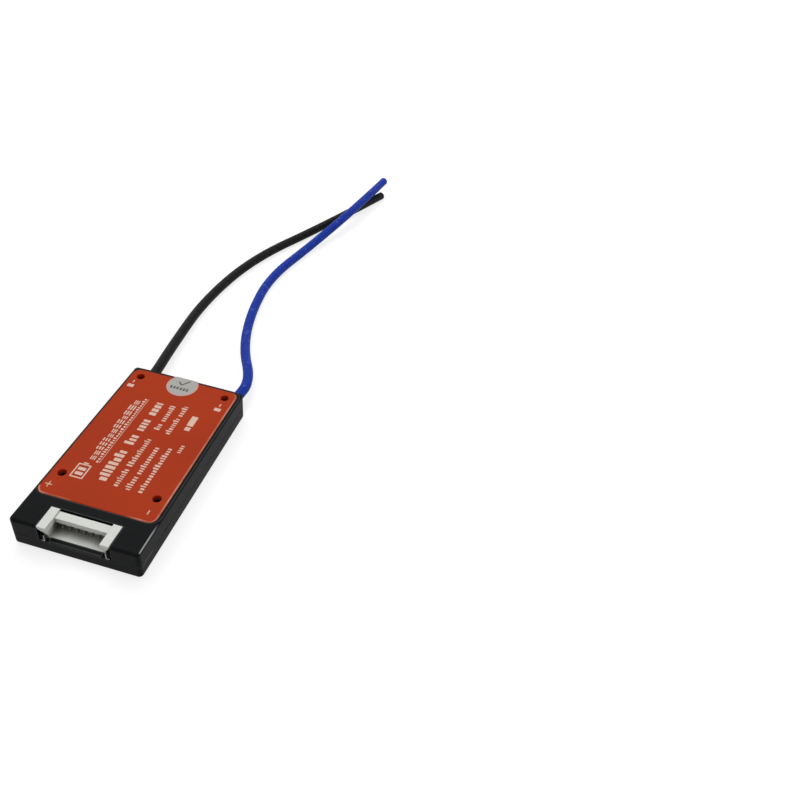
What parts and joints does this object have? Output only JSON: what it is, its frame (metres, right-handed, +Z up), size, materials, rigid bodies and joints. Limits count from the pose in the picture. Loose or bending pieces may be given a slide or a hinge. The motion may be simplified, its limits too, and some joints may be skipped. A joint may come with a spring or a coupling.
{
  "type": "battery management board",
  "caption": "Slim black battery management board with a red heat plate, a side-entry balance header at the front and one black and one blue power lead at the rear.",
  "frame": {"origin": "centre of the case's flat underside", "axes": "+X to the right when the header faces the viewer, +Y from the header towards the power leads, +Z up through the red heat plate"},
  "size_m": [0.0395, 0.2302, 0.0097],
  "materials": {
    "shell_plastic": "satin black moulding",
    "red_plate": "red coated aluminium, satin",
    "header_nylon": "warm grey nylon",
    "tinned_brass": "tin plated",
    "board_laminate": "glass laminate with green solder mask",
    "chip_resin": "moulded epoxy",
    "resistor_ceramic": "glazed black with tinned ends",
    "thermal_silicone": "soft silicone sheet",
    "solder": "bright tin solder",
    "copper_strand": "tinned copper strand",
    "black_silicone": "silicone insulation",
    "blue_silicone": "silicone insulation",
    "sticker_foil": "silver paper sticker"
  },
  "bodies": {
    "root": {"balance_resistor_1": "resistor_ceramic", "balance_resistor_2": "resistor_ceramic", "balance_resistor_3": "resistor_ceramic", "balance_resistor_4": "resistor_ceramic", "balance_resistor_5": "resistor_ceramic", "balance_resistor_6": "resistor_ceramic", "balance_resistor_7": "resistor_ceramic", "balance_transistor_1": "chip_resin", "balance_transistor_2": "chip_resin", "balance_transistor_3": "chip_resin", "balance_transistor_4": "chip_resin", "balance_transistor_5": "chip_resin", "balance_transistor_6": "chip_resin", "balance_transistor_7": "chip_resin", "black_lead": "black_silicone", "black_lead_core": "copper_strand", "black_lead_solder": "solder", "blue_lead": "blue_silicone", "blue_lead_core": "copper_strand", "blue_lead_solder": "solder", "bottom_shell": "shell_plastic", "circuit_board": "board_laminate", "header_housing": "header_nylon", "header_pin_1": "tinned_brass", "header_pin_2": "tinned_brass", "header_pin_3": "tinned_brass", "header_pin_4": "tinned_brass", "header_pin_5": "tinned_brass", "header_pin_6": "tinned_brass", "header_pin_7": "tinned_brass", "header_pin_8": "tinned_brass", "header_tab_left": "tinned_brass", "header_tab_right": "tinned_brass", "heatsink_plate": "red_plate", "inspection_sticker": "sticker_foil", "mosfet_1": "chip_resin", "mosfet_2": "chip_resin", "mosfet_3": "chip_resin", "mosfet_4": "chip_resin", "mosfet_5": "chip_resin", "mosfet_6": "chip_resin", "protection_chip": "chip_resin", "shunt_resistor_1": "resistor_ceramic", "shunt_resistor_2": "resistor_ceramic", "shunt_resistor_3": "resistor_ceramic", "thermal_pad": "thermal_silicone", "top_shell": "shell_plastic"}
  },
  "joints": []
}
